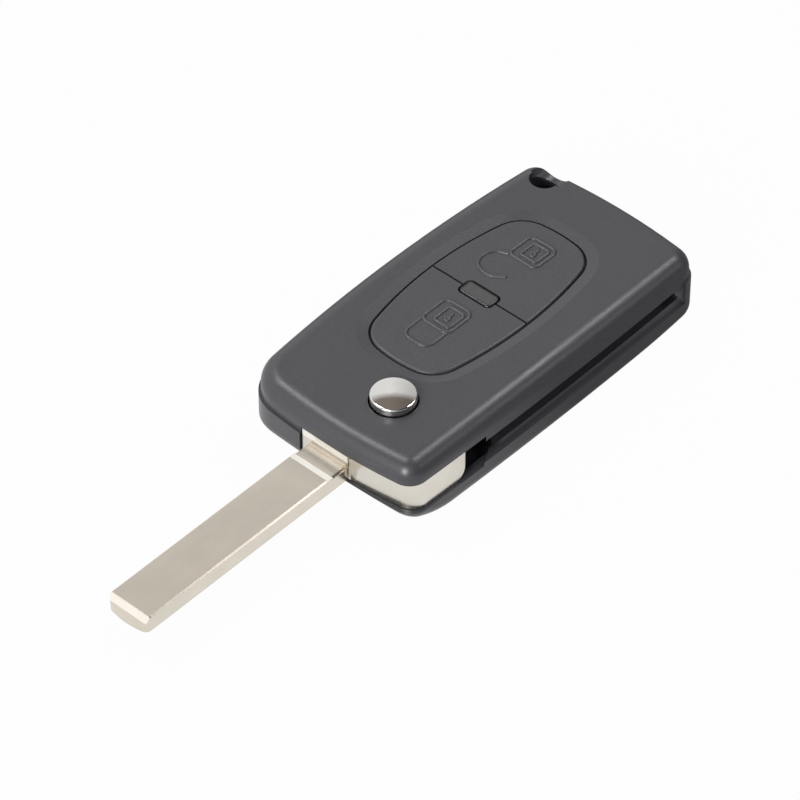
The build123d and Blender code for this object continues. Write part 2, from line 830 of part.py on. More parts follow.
# Folding head: a corner block with a round heel, the blade's boss and a hub that turns in the case
with BuildPart() as flip_head:
    with BuildSketch(Plane.XY.offset(head_bottom)):
        add(head_block())
    extrude(amount=head_top - head_bottom)
    heel = flip_head.edges().filter_by(Axis.Y).group_by(Axis.Z)[0].sort_by(Axis.X)[-1]
    fillet(heel, head_heel_radius)
    with BuildSketch(Plane.XZ.offset(-boss_y)):
        with BuildLine():
            Polyline(
                (boss_face, head_bottom + boss_foot),
                (boss_face, head_top),
                (pivot_x, head_top),
                (pivot_x, head_bottom),
                (boss_face + boss_undercut, head_bottom),
                close=True,
            )
        make_face()
    extrude(amount=boss_width / 2, both=True)
    with BuildSketch():
        with Locations((boss_face, boss_y - boss_width / 2 + boss_groove_inset + boss_groove / 2)):
            Rectangle(2 * boss_groove_depth, boss_groove)
    extrude(amount=case_height, mode=Mode.SUBTRACT)
    with BuildSketch(Plane.XY.offset(head_bottom)):
        with Locations(pivot):
            Circle(hub_radius)
    extrude(amount=head_top - head_bottom)
    with BuildSketch(Plane.XY.offset(well_floor + head_gap)):
        with Locations(pivot):
            Circle(collar_radius)
    extrude(amount=collar_top - well_floor - head_gap)
    with BuildSketch():
        with Locations(pivot):
            Circle(plunger_radius + running_gap)
    extrude(amount=case_height, mode=Mode.SUBTRACT)
    with BuildSketch(Plane.XY.offset(lug_top - lug_height - button_travel - case_gap)):
        with Locations(pivot):
            Rectangle(2 * (plunger_radius + lug_reach + case_gap), lug_width + 2 * case_gap)
    extrude(amount=case_height, mode=Mode.SUBTRACT)
    with BuildSketch(Plane.YZ.offset(boss_face)):
        with Locations((tang_y, tang_top - tang_drop - tang_tongue_height / 2)):
            Rectangle(tang_tongue_width, tang_tongue_height)
    extrude(amount=boss_front - tang_end, mode=Mode.SUBTRACT)
    with BuildSketch(Plane.XY.offset(head_bottom)):
        with Locations((pivot_x - pin_place, tang_y)):
            Circle(pin_radius)
    extrude(amount=head_top - head_bottom, mode=Mode.SUBTRACT)
save(flip_head.part, "flip_head")

# Blade: an uncut blank with a bevelled nose, a bevelled step and a thinner tang in the head
with BuildPart() as blade:
    nose = pivot_x - blade_reach
    step = pivot_x - blade_step
    tang_length = boss_face - step - tang_slope
    with BuildSketch(Plane.XZ.offset(-tang_y)):
        with BuildLine():
            Polyline(
                (nose + nose_bow + nose_slope, blade_top),
                (nose + nose_bow, blade_top - nose_ridge),
                (nose, blade_bottom + blade_edge),
                (nose, blade_bottom),
                (boss_face, blade_bottom),
                (boss_face, tang_top),
                (step + tang_slope, tang_top),
                (step, blade_top),
                close=True,
            )
        make_face()
    extrude(amount=blade_width / 2, both=True)
    with BuildSketch() as blade_plan:
        blade_side = blade_width / 2
        with BuildLine():
            front = ThreePointArc(
                (nose + nose_bow, tang_y - blade_side),
                (nose, tang_y),
                (nose + nose_bow, tang_y + blade_side),
            )
            Polyline(
                front @ 0,
                (boss_face, tang_y - blade_side),
                (boss_face, tang_y + blade_side),
                front @ 1,
            )
        make_face()
        fillet(blade_plan.vertices().group_by(Axis.X)[0], nose_corner)
    extrude(amount=case_height, mode=Mode.INTERSECT)
    chamfer(blade.edges().filter_by(Axis.X).group_by(Axis.Z)[-1], blade_edge)
    with BuildSketch(Plane.XY.offset(tang_top - tang_ledge_depth)):
        with Locations((boss_face - tang_length / 2, tang_y)):
            Rectangle(tang_length, blade_width)
            Rectangle(tang_length, blade_width - 2 * tang_ledge_width, mode=Mode.SUBTRACT)
    extrude(amount=blade_thickness, mode=Mode.SUBTRACT)
    with BuildSketch(Plane.XY.offset(tang_top)):
        with Locations((boss_face - tang_bar_length / 2, tang_y)):
            Rectangle(tang_bar_length, blade_width - 2 * tang_ledge_width)
    extrude(amount=tang_bar_height)
    with BuildSketch(Plane.YZ.offset(boss_face)):
        with Locations((tang_y, tang_top - tang_drop - tang_tongue_height / 2)):
            Rectangle(tang_tongue_width, tang_tongue_height)
    extrude(amount=boss_front - tang_end)
    with BuildSketch(Plane.XY.offset(blade_bottom)):
        with Locations((pivot_x - pin_place, tang_y)):
            Circle(pin_radius)
    extrude(amount=blade_thickness, mode=Mode.SUBTRACT)
save(blade.part, "blade")

with BuildPart() as blade_pin:
    with BuildSketch(Plane.XY.offset(head_bottom + pin_inset)):
        with Locations((pivot_x - pin_place, tang_y)):
            Circle(pin_radius)
    extrude(amount=head_top - head_bottom - 2 * pin_inset)
    chamfer(blade_pin.edges(), component_edge)
save(blade_pin.part, "blade_pin")

# Release plunger: a cup that slides and turns with the head, with two lugs that lock it
with BuildPart() as release_plunger:
    with BuildSketch(Plane.XY.offset(plunger_foot)):
        with Locations(pivot):
            Circle(plunger_radius)
    extrude(amount=plunger_depth)
    with BuildSketch(Plane.XY.offset(lug_top - lug_height)):
        with Locations(pivot):
            Rectangle(2 * (plunger_radius + lug_reach), lug_width)
    extrude(amount=lug_height)
    with BuildSketch(Plane.XY.offset(plunger_foot)):
        with Locations(pivot):
            Circle(plunger_bore)
    extrude(amount=plunger_depth - plunger_roof, mode=Mode.SUBTRACT)
    with BuildSketch(Plane.XY.offset(plunger_top)):
        with Locations(pivot):
            Circle(spigot_radius + slide_gap)
    extrude(amount=-(spigot_depth + slide_gap), mode=Mode.SUBTRACT)
save(release_plunger.part, "release_plunger")

# Release button: a domed cap that stands on the plunger
with BuildPart() as release_button:
    rim = case_height - arch_drop(pivot_x) + button_rise
    with BuildSketch(Plane.XZ.offset(-pivot_y)) as button_view:
        with BuildLine():
            dome = TangentArc(
                (pivot_x, rim + button_crown), (pivot_x + button_radius, rim), tangent=(1, 0)
            )
            Polyline(
                dome @ 0,
                (pivot_x, plunger_top - spigot_depth),
                (pivot_x + spigot_radius, plunger_top - spigot_depth),
                (pivot_x + spigot_radius, plunger_top),
                (pivot_x + button_radius, plunger_top),
                dome @ 1,
            )
        make_face()
        fillet(button_view.vertices().group_by(Axis.X)[-1].sort_by(Axis.Y)[-1], button_edge)
    revolve(axis=Axis((pivot_x, pivot_y, 0), (0, 0, 1)))
save(release_button.part, "release_button")

# Flip spring: a coil round the post, from the floor to the roof of the plunger's cup
with BuildPart() as flip_spring:
    spring_low = well_floor + spring_wire / 2 + slide_gap
    spring_high = plunger_top - plunger_roof - spring_wire / 2 - slide_gap
    spring_height = spring_high - spring_low
    with BuildLine() as coil:
        Helix(
            pitch=spring_height / spring_turns,
            height=spring_height,
            radius=spring_radius,
            center=(pivot_x, pivot_y, spring_low),
        )
    with BuildSketch(Plane(origin=coil.line @ 0, z_dir=coil.line % 0)):
        Circle(spring_wire / 2)
    sweep(path=coil.line, is_frenet=True)
save(flip_spring.part, "flip_spring")
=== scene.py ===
# %% [markdown]
# # A folding car key
# The key lies on its underside with the blade swung out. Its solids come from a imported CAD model,
# which is loaded here as a fixed frame: nothing in it is moved or reshaped. This lesson gives every
# piece its finish, adds the raised symbols on the keys, and sets up the camera and a small studio.

# %% Load the frame
import math
import bpy
import bmesh
from mathutils import Matrix, Vector


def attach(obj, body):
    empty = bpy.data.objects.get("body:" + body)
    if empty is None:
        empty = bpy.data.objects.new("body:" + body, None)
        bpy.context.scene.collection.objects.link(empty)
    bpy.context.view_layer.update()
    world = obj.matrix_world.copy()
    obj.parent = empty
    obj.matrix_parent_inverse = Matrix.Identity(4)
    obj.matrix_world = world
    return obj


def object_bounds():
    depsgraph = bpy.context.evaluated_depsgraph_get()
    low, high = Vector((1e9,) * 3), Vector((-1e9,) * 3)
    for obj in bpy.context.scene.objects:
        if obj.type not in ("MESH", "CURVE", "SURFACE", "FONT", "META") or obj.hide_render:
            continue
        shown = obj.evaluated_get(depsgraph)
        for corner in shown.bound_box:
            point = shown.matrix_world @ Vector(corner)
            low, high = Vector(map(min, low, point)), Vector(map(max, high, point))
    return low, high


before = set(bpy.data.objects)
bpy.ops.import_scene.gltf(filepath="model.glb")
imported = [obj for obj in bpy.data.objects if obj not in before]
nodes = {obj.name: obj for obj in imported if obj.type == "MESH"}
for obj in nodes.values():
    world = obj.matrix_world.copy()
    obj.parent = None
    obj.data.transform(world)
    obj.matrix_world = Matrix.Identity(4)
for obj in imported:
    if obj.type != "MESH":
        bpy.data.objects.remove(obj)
cad_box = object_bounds()
MM = 0.001
print("pieces in the frame:", len(nodes), "size in mm:", [round(x / MM, 1) for x in cad_box[1] - cad_box[0]])


# %% [markdown]
# ## Camera
# The key was photographed from its blade end, a little to the right, looking down at 44 degrees from
# 0.8 m with a long lens. The camera could be aimed by hand, but it is worked out instead, so that the
# release button's top falls on the same pixel as in the photograph. Two unit vectors give the
# picture's right and up, and the small steps along them slide the frame without turning it.

# %% Place the camera
AZIMUTH, ELEVATION = math.radians(-47.7), math.radians(44.0)
DISTANCE = 800 * MM
STEP_RIGHT, STEP_DOWN = 1.043 * MM, 1.092 * MM
SENSOR_WIDTH = 36.0
LENS_PER_SENSOR = 6.135
BUTTON_TOP = Vector((-25.3, -5.15, 15.68)) * MM
right = Vector((math.cos(AZIMUTH), math.sin(AZIMUTH), 0))
back = Vector((math.sin(AZIMUTH) * math.cos(ELEVATION),
               -math.cos(AZIMUTH) * math.cos(ELEVATION),
               math.sin(ELEVATION)))
up = back.cross(right)
lens = bpy.data.cameras.new("camera")
lens.sensor_width = SENSOR_WIDTH
lens.lens = SENSOR_WIDTH * LENS_PER_SENSOR
lens.clip_start, lens.clip_end = 0.05, 20
camera = bpy.data.objects.new("camera", lens)
bpy.context.scene.collection.objects.link(camera)
stand = BUTTON_TOP + DISTANCE * back + STEP_RIGHT * right - STEP_DOWN * up
camera.matrix_world = Matrix.Translation(stand) @ Matrix((right, up, back)).transposed().to_4x4()
bpy.context.scene.camera = camera
print("lens:", round(lens.lens, 1), "mm")


# %% [markdown]
# ## Helpers for materials
# Colours are easiest to judge as sRGB hex values, but shaders mix linear light, so one function
# turns hex to linear. Shader nodes could each get a function of their own; one that adds any node,
# sets it and links it keeps every material readable. Three short ones name what is asked for most:
# a sum, a change of range and a mix of colours.

# %% Colour and node helpers
def linear(hex_colour):
    """An sRGB hex colour as the linear red, green, blue and alpha that shaders use."""
    parts = [int(hex_colour[i:i + 2], 16) / 255 for i in (1, 3, 5)]
    return [c / 12.92 if c <= 0.04045 else ((c + 0.055) / 1.055) ** 2.4 for c in parts] + [1.0]


def feed(tree, node, inputs):
    """Sets a node's inputs. Each value is plain, or the output socket that feeds the input."""
    for name, value in inputs.items():
        if isinstance(value, bpy.types.NodeSocket):
            tree.links.new(value, node.inputs[name])
        else:
            node.inputs[name].default_value = value


def add(tree, kind, inputs=None, **settings):
    """Adds a node with these settings and inputs."""
    made = tree.nodes.new(kind)
    for name, value in settings.items():
        setattr(made, name, value)
    feed(tree, made, inputs or {})
    return made


def maths(tree, operation, *values):
    """The result of a Math node."""
    return add(tree, "ShaderNodeMath", dict(enumerate(values)), operation=operation).outputs[0]


def ranged(tree, value, start, end, low, high):
    """A value that goes from start to end, made to go from low to high."""
    return add(tree, "ShaderNodeMapRange", {"Value": value, "From Min": start, "From Max": end,
                                            "To Min": low, "To Max": high}).outputs[0]


def mix(tree, share, below, over, blend="MIX"):
    """Two colours blended. A Mix node takes its colours at sockets 6 and 7 and gives one at 2."""
    return add(tree, "ShaderNodeMix", {"Factor": share, 6: below, 7: over},
               data_type="RGBA", blend_type=blend).outputs[2]


def find(tree, kind):
    """The tree's first node of that type."""
    return next(node for node in tree.nodes if node.type == kind)


def start_material(name, **shader):
    """A new material: its tree, its shader and its Object coordinates."""
    material = bpy.data.materials.new(name)
    material.use_nodes = True
    tree = material.node_tree
    tree.nodes.clear()
    surface = add(tree, "ShaderNodeBsdfPrincipled", shader)
    add(tree, "ShaderNodeOutputMaterial", {"Surface": surface.outputs[0]})
    place = add(tree, "ShaderNodeTexCoord").outputs["Object"]
    return material, tree, surface, place


def between(tree, value, low_mm, high_mm, fade_mm):
    """1 where a coordinate lies between two limits, fading to 0 over that distance outside them."""
    middle, half = (low_mm + high_mm) / 2 * MM, (high_mm - low_mm) / 2 * MM
    off = maths(tree, "ABSOLUTE", maths(tree, "SUBTRACT", value, middle))
    return ranged(tree, off, half, half + fade_mm * MM, 1.0, 0.0)


def in_box(material, x, y, z):
    """1 inside a box of low, high and fade in mm along each axis of the piece, 0 outside."""
    tree = material.node_tree
    place = add(tree, "ShaderNodeTexCoord").outputs["Object"]
    axes = add(tree, "ShaderNodeSeparateXYZ", {0: place}).outputs
    share = 1.0
    for axis, limits in zip("XYZ", (x, y, z)):
        share = maths(tree, "MULTIPLY", share, between(tree, axes[axis], *limits))
    return share


def recolour(material, hex_colour, share):
    """Mixes that share of a colour over the material's own, and gives back its shader."""
    tree = material.node_tree
    surface = find(tree, "BSDF_PRINCIPLED")
    below = surface.inputs["Base Color"].links[0].from_socket
    feed(tree, surface, {"Base Color": mix(tree, share, below, linear(hex_colour))})
    return surface


# %% [markdown]
# ## Textured black ABS
# The case halves are moulded in black ABS. The mould is spark-eroded, which leaves a fine grain all
# over the part. The grain breaks up the shine, so black plastic looks dark grey under soft light and
# brightens where an edge turns towards the lamp. Its real grain is about 0.1 mm, smaller than a pixel
# of this picture, so it is drawn at 0.3 mm to show at all. A slower noise varies the shine, as
# handling does. Nearly all of a noise lies between 0.3 and 0.7, so that is the range that is spread.

# %% Case plastic
NOISE = (0.3, 0.7)
SPECKLE = (0.85, 1.15)


def moulded_plastic(name, colour, grain_mm, depth_mm, rough, strength=0.5, gloss=0.5):
    """Black moulded plastic with a spark-eroded grain of that size and depth."""
    material, tree, surface, place = start_material(name, **{"IOR": 1.53, "Specular IOR Level": gloss})
    grain = add(tree, "ShaderNodeTexNoise", {"Vector": place, "Scale": 1 / (grain_mm * MM),
                                             "Detail": 3.0, "Roughness": 0.6}).outputs["Fac"]
    handled = add(tree, "ShaderNodeTexNoise", {"Vector": place, "Scale": 70.0, "Detail": 3.0}).outputs["Fac"]
    speckle = ranged(tree, grain, *NOISE, *SPECKLE)
    bump = add(tree, "ShaderNodeBump", {"Height": grain, "Distance": depth_mm * MM, "Strength": strength})
    feed(tree, surface, {"Base Color": mix(tree, 1.0, linear(colour), speckle, "MULTIPLY"),
                         "Roughness": ranged(tree, handled, *NOISE, *rough),
                         "Normal": bump.outputs[0]})
    return material


case_plastic = moulded_plastic("textured black ABS", "#3a3a3e", grain_mm=0.3, depth_mm=0.02,
                               rough=(0.31, 0.37), gloss=0.42)
key_plastic = moulded_plastic("satin black ABS", "#3c3c3f", grain_mm=0.4, depth_mm=0.008,
                              rough=(0.34, 0.40), strength=0.4, gloss=0.42)
inner_plastic = moulded_plastic("natural black nylon", "#2a2a2b", grain_mm=0.4, depth_mm=0.02,
                                rough=(0.55, 0.65))


# %% [markdown]
# The channel's floor lies in the roof's shade, so a lighter grey is painted on it as painted light,
# paler towards the inside where the shade is deepest. The zone is a box in the case's own coordinates.

# %% Painted light in the channel
SLOT_PAINTED_LIGHT = (-13, 33, 1.5), (-16.6, -4.5, 2.2), (4.77, 8.95, 0.05)
# painted light: a pale grey mixed over the channel floor, which lies in shade
recolour(case_plastic, "#8a8a8d", in_box(case_plastic, *SLOT_PAINTED_LIGHT))


# %% [markdown]
# ## Smoked polycarbonate
# The small window between the keys lets an indicator lamp through. It is moulded smooth in almost
# black polycarbonate. Real tinted clear plastic could be made with transmission, but behind this one
# there is nothing to see, so a dark body under a glossy surface gives the same look. Its rim is painted
# darker than its face: painted shade that stands in for the shade of the groove around it.

# %% Window plastic
WINDOW_FACE = (1.95, 4.05, 0.15), (-1.55, 4.15, 0.15), (11, 15, 1)
window_plastic, tree, surface, place = start_material("smoked polycarbonate", IOR=1.58)
cloud = add(tree, "ShaderNodeTexNoise", {"Vector": place, "Scale": 900.0, "Detail": 2.0}).outputs["Fac"]
feed(tree, surface, {"Base Color": mix(tree, cloud, linear("#363638"), linear("#404042")),
                     "Roughness": ranged(tree, cloud, 0.0, 1.0, 0.28, 0.36)})
# painted shade: the rim outside the window's face is darkened in place of the groove's shade
rim_painted_shade = maths(tree, "SUBTRACT", 1.0, in_box(window_plastic, *WINDOW_FACE))
recolour(window_plastic, "#161617", rim_painted_shade)


# %% [markdown]
# ## Plated metals
# The head is a zinc casting and the blade is milled brass; both are plated with satin nickel, a warm
# pale metal. The blade's faces are ground along its length first, so its plating keeps faint lines.
# Stretching a noise along the blade draws them: it is sampled much more finely across than along.
# The button is polished before it is plated with chrome, so it mirrors the room.

# %% Nickel and chrome
STAIN = (0.94, 1.03)
EVEN = (1, 1, 1)


def plated_metal(name, colour, stretch, line_mm, depth_mm, rough):
    """Plated metal whose grinding lines run along the axis that has the smallest stretch."""
    material, tree, surface, place = start_material(name, Metallic=1.0)
    along = add(tree, "ShaderNodeMapping", {"Vector": place, "Scale": stretch})
    lines = add(tree, "ShaderNodeTexNoise", {"Vector": along.outputs[0], "Scale": 1 / (line_mm * MM),
                                             "Detail": 4.0, "Roughness": 0.5}).outputs["Fac"]
    stain = add(tree, "ShaderNodeTexNoise", {"Vector": place, "Scale": 160.0, "Detail": 4.0}).outputs["Fac"]
    shade = ranged(tree, stain, *NOISE, *STAIN)
    bump = add(tree, "ShaderNodeBump", {"Height": lines, "Distance": depth_mm * MM, "Strength": 0.3})
    feed(tree, surface, {"Base Color": mix(tree, 1.0, linear(colour), shade, "MULTIPLY"),
                         "Roughness": ranged(tree, lines, *NOISE, *rough),
                         "Normal": bump.outputs[0]})
    return material


head_nickel = plated_metal("satin nickel on zinc", "#ded9cf", (1, 1, 0.3), line_mm=0.9,
                           depth_mm=0.0008, rough=(0.20, 0.27))
blade_nickel = plated_metal("ground nickel on brass", "#dfd7ca", (0.03, 1, 1), line_mm=0.35,
                            depth_mm=0.00005, rough=(0.23, 0.27))
button_chrome = plated_metal("polished chrome", "#e2e0dc", EVEN, line_mm=2.0,
                             depth_mm=0.0005, rough=(0.05, 0.09))
plain_steel = plated_metal("drawn spring steel", "#b4b3b0", EVEN, line_mm=0.3,
                           depth_mm=0.004, rough=(0.25, 0.38))
sheet_bronze = plated_metal("rolled phosphor bronze", "#c9a876", (0.1, 1, 1), line_mm=0.2,
                            depth_mm=0.003, rough=(0.25, 0.35))


# %% [markdown]
# Some faces are milled after grinding: the slope where the blade steps down to its tang, the slanted
# facet at its nose and the head's face above the tang. Milling leaves them frosted, so they glow
# where the ground faces only mirror what is around. Boxes in each piece's own coordinates turn a
# share of the metal there into plain scattering.

# %% Frosted faces
SLOPE = (-41.9, -40.7, 0.1), (-9, 9, 1), (7.9, 9.0, 0.1)
FACET = (-86.0, -83.15, 0.1), (-9, 9, 1), (6.9, 9.0, 0.1)
TANG = (-40.6, -37.0, 0.1), (-9, 9, 1), (7.9, 9.0, 0.1)
SEAT = (-37.3, -36.8, 0.1), (-5.7, 5.0, 0.2), (8.7, 12, 0.1)
FACET_SHARE, TANG_SHARE, SEAT_SHARE = 0.5, 0.15, 0.5


def frost(material, share, hex_colour, pale):
    """Turns that share of the metal into plain scattering, in a colour of its own where pale is 1."""
    surface = recolour(material, hex_colour, pale)
    tree = material.node_tree
    feed(tree, surface, {"Metallic": maths(tree, "SUBTRACT", 1.0, share)})


slope, facet, tang = (in_box(blade_nickel, *box) for box in (SLOPE, FACET, TANG))
pale = maths(blade_nickel.node_tree, "MULTIPLY_ADD", facet, FACET_SHARE, slope)
frosted = maths(blade_nickel.node_tree, "MULTIPLY_ADD", tang, TANG_SHARE, pale)
frost(blade_nickel, frosted, "#dad7d0", pale)

seat = in_box(head_nickel, *SEAT)
frost(head_nickel, maths(head_nickel.node_tree, "MULTIPLY", seat, SEAT_SHARE), "#dcd9d2", seat)


# %% [markdown]
# ## What lies inside
# The mat under the keys is silicone rubber: soft, matt and a little dusty. The board is glass-epoxy
# laminate under green solder mask, whose copper tracks show through as slightly lighter bands. The
# chips are moulded epoxy. They show only when the case is taken apart, but each still gets its own
# finish.

# %% Rubber, laminate, epoxy
mat_rubber = moulded_plastic("moulded silicone rubber", "#3b3b3d", grain_mm=0.8, depth_mm=0.02,
                             rough=(0.72, 0.85))
chip_epoxy = moulded_plastic("moulded epoxy", "#2b2b2c", grain_mm=0.15, depth_mm=0.01,
                             rough=(0.45, 0.6))

lamp_plastic, tree, surface, place = start_material("tinted clear epoxy", IOR=1.55, Roughness=0.15)
glow = add(tree, "ShaderNodeTexNoise", {"Vector": place, "Scale": 700.0}).outputs["Fac"]
feed(tree, surface, {"Base Color": mix(tree, glow, linear("#a8281c"), linear("#c8402e"))})

TRACK_PITCH = 6 * MM
board_laminate, tree, surface, place = start_material("solder mask on glass epoxy", IOR=1.55, Roughness=0.35)
tracks = add(tree, "ShaderNodeTexBrick", {"Vector": place, "Scale": 1 / TRACK_PITCH, "Mortar Size": 0.03,
                                          "Color1": linear("#1d5a33"), "Color2": linear("#1a5230"),
                                          "Mortar": linear("#2f7d4a")}, offset=0.37)
bump = add(tree, "ShaderNodeBump", {"Height": tracks.outputs["Fac"], "Distance": 0.03 * MM, "Strength": 0.5})
feed(tree, surface, {"Base Color": tracks.outputs["Color"], "Normal": bump.outputs[0]})


# %% [markdown]
# ## Dress the frame
# Every node of the frame keeps its mesh and only gets a finish in its material slots. A table of
# finish and pieces is easier to check than one line for each piece.

# %% Give each node its finish
FINISHES = {
    case_plastic: ["upper_case", "lower_case"],
    key_plastic: ["lock_key", "unlock_key"],
    window_plastic: ["centre_window"],
    head_nickel: ["flip_head"],
    blade_nickel: ["blade"],
    button_chrome: ["release_button"],
    inner_plastic: ["release_plunger", "lock_switch_plunger", "unlock_switch_plunger"],
    plain_steel: ["blade_pin", "case_screw", "flip_spring", "coin_cell", "lock_switch", "unlock_switch"],
    sheet_bronze: ["cell_contact_plus", "cell_contact_minus"],
    mat_rubber: ["keypad_membrane"],
    chip_epoxy: ["controller_chip", "resonator", "transponder_chip"],
    lamp_plastic: ["indicator_led"],
    board_laminate: ["circuit_board"],
}
for finish, names in FINISHES.items():
    for name in names:
        nodes[name].data.materials.clear()
        nodes[name].data.materials.append(finish)
print("dressed:", sum(len(names) for names in FINISHES.values()), "of", len(nodes))


# %% [markdown]
# ## Symbols on the keys
# Each key carries a raised padlock, moulded with the key: closed on the front one, open on the rear
# one. The lines could be extruded as text or cut with booleans, but a line that follows a drawn path
# is just what Geometry Nodes are good at. The tree rounds the path's corners, drops its points onto
# the key's crowned top, and sweeps a round section along it that is sunk so that only a low ridge
# shows. Small balls close the open ends.

# %% The tree that raises a line
RAY_START, RAY_LENGTH = 50 * MM, 100 * MM
LINE_SIZES = {"Ridge Radius": 0.36, "Ridge Height": 0.28, "Corner Radius": 1.0, "Step": 0.15}


def ridge_tree():
    """Geometry Nodes that turn a path into a raised line on a surface."""
    tree = bpy.data.node_groups.new("raised line", "GeometryNodeTree")
    face = tree.interface
    face.new_socket("Geometry", in_out="INPUT", socket_type="NodeSocketGeometry")
    face.new_socket("Surface", in_out="INPUT", socket_type="NodeSocketObject")
    face.new_socket("Material", in_out="INPUT", socket_type="NodeSocketMaterial")
    for name, size_mm in LINE_SIZES.items():
        face.new_socket(name, in_out="INPUT", socket_type="NodeSocketFloat").default_value = size_mm * MM
    face.new_socket("Geometry", in_out="OUTPUT", socket_type="NodeSocketGeometry")
    given = add(tree, "NodeGroupInput").outputs
    rounded = add(tree, "GeometryNodeFilletCurve", {"Curve": given["Geometry"],
                                                    "Radius": given["Corner Radius"],
                                                    "Limit Radius": True, "Count": 8}, mode="POLY")
    fine = add(tree, "GeometryNodeResampleCurve", {"Curve": rounded.outputs[0], "Length": given["Step"]},
               mode="LENGTH")
    target = add(tree, "GeometryNodeObjectInfo", {"Object": given["Surface"]})
    here = add(tree, "ShaderNodeSeparateXYZ", {0: add(tree, "GeometryNodeInputPosition").outputs[0]})
    above = add(tree, "ShaderNodeCombineXYZ", {"X": here.outputs["X"], "Y": here.outputs["Y"],
                                               "Z": RAY_START})
    drop = add(tree, "GeometryNodeRaycast", {"Target Geometry": target.outputs["Geometry"],
                                             "Source Position": above.outputs[0],
                                             "Ray Direction": (0, 0, -1), "Ray Length": RAY_LENGTH})
    sink = maths(tree, "SUBTRACT", given["Ridge Height"], given["Ridge Radius"])
    down = add(tree, "ShaderNodeCombineXYZ", {"Z": sink})
    laid = add(tree, "GeometryNodeSetPosition", {"Geometry": fine.outputs[0],
                                                 "Position": drop.outputs["Hit Position"],
                                                 "Offset": down.outputs[0]})
    section = add(tree, "GeometryNodeCurvePrimitiveCircle", {"Resolution": 16,
                                                             "Radius": given["Ridge Radius"]})
    swept = add(tree, "GeometryNodeCurveToMesh", {"Curve": laid.outputs[0],
                                                  "Profile Curve": section.outputs[0], "Fill Caps": True})
    ends = add(tree, "GeometryNodeCurveEndpointSelection")
    cyclic = add(tree, "GeometryNodeInputSplineCyclic")
    is_open = add(tree, "FunctionNodeBooleanMath", {0: cyclic.outputs[0]}, operation="NOT")
    at_ends = add(tree, "FunctionNodeBooleanMath", {0: ends.outputs[0], 1: is_open.outputs[0]},
                  operation="AND")
    ball = add(tree, "GeometryNodeMeshUVSphere", {"Segments": 16, "Rings": 8,
                                                  "Radius": given["Ridge Radius"]})
    balls = add(tree, "GeometryNodeInstanceOnPoints", {"Points": laid.outputs[0],
                                                       "Selection": at_ends.outputs[0],
                                                       "Instance": ball.outputs[0]})
    real = add(tree, "GeometryNodeRealizeInstances", {"Geometry": balls.outputs[0]})
    both = add(tree, "GeometryNodeJoinGeometry")
    tree.links.new(swept.outputs[0], both.inputs[0])
    tree.links.new(real.outputs[0], both.inputs[0])
    smooth = add(tree, "GeometryNodeSetShadeSmooth", {"Geometry": both.outputs[0]})
    painted = add(tree, "GeometryNodeSetMaterial", {"Geometry": smooth.outputs[0],
                                                    "Material": given["Material"]})
    add(tree, "NodeGroupOutput", {"Geometry": painted.outputs[0]})
    return tree


raised_line = ridge_tree()
print("tree:", raised_line.name, "with", len(raised_line.nodes), "nodes")


# %% [markdown]
# The drawings are lists of corners in millimetres, seen from above, with the size of the rounding
# that each path gets. A padlock is a body, a shackle and a keyhole. The result of the tree is taken
# as a plain mesh, because a finished piece shouldn't depend on its modifier.

# %% Draw the padlocks
PATH_HEIGHT = 20 * MM
KEYHOLE_RADIUS = 0.42
KEYHOLE_SLOT = (0.45, 1.3)
KEYHOLE_ROUNDING = 0.1


def box_path(x0, x1, y0, y1):
    """The four corners of a box."""
    return [(x0, y0), (x1, y0), (x1, y1), (x0, y1)]


def keyhole(x, y):
    """A small ring of eight corners and the short slot beside it."""
    ring = [(x + KEYHOLE_RADIUS * math.cos(a * math.pi / 4), y + KEYHOLE_RADIUS * math.sin(a * math.pi / 4))
            for a in range(8)]
    slot = [(x + end, y) for end in KEYHOLE_SLOT]
    return [(ring, True, KEYHOLE_ROUNDING), (slot, False, KEYHOLE_ROUNDING)]


LOCK = [(box_path(-7.9, -1.5, -1.3, 4.7), True, 1.3), (box_path(-6.7, -2.6, -0.5, 2.9), True, 0.5),
        ([(-7.9, 4.6), (-12.8, 4.6), (-12.8, -1.0), (-7.9, -1.0)], False, 2.0)] + keyhole(-5.1, 1.2)
UNLOCK = [(box_path(13.9, 19.8, -1.4, 4.5), True, 1.2), (box_path(15.1, 18.8, -0.5, 2.9), True, 0.5),
          ([(13.9, 4.4), (12.7, 7.2), (8.5, 7.3), (7.2, 3.7), (9.1, 0.9)], False, 2.8)] + keyhole(16.5, 1.2)


def raise_symbol(name, drawing, key_name):
    """Makes the drawing one raised piece on that key."""
    result = bmesh.new()
    for corners, closed, rounding in drawing:
        path = bpy.data.curves.new(name, "CURVE")
        path.dimensions = "3D"
        spline = path.splines.new("POLY")
        spline.points.add(len(corners) - 1)
        for point, (x, y) in zip(spline.points, corners):
            point.co = (x * MM, y * MM, PATH_HEIGHT, 1)
        spline.use_cyclic_u = closed
        piece = bpy.data.objects.new(name, path)
        bpy.context.scene.collection.objects.link(piece)
        modifier = piece.modifiers.new("raised line", "NODES")
        modifier.node_group = raised_line
        wanted = {"Surface": nodes[key_name], "Material": key_plastic, "Corner Radius": rounding * MM}
        for item in raised_line.interface.items_tree:
            if item.in_out == "INPUT" and item.name in wanted:
                modifier[item.identifier] = wanted[item.name]
        graph = bpy.context.evaluated_depsgraph_get()
        result.from_mesh(bpy.data.meshes.new_from_object(piece.evaluated_get(graph), depsgraph=graph))
        bpy.data.objects.remove(piece)
    mesh = bpy.data.meshes.new(name)
    bmesh.ops.recalc_face_normals(result, faces=result.faces)
    result.to_mesh(mesh)
    mesh.materials.append(key_plastic)
    made = bpy.data.objects.new(name, mesh)
    bpy.context.scene.collection.objects.link(made)
    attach(made, key_name)
    print(name, "faces:", len(mesh.polygons))


raise_symbol("lock_symbol", LOCK, "lock_key")
raise_symbol("unlock_symbol", UNLOCK, "unlock_key")


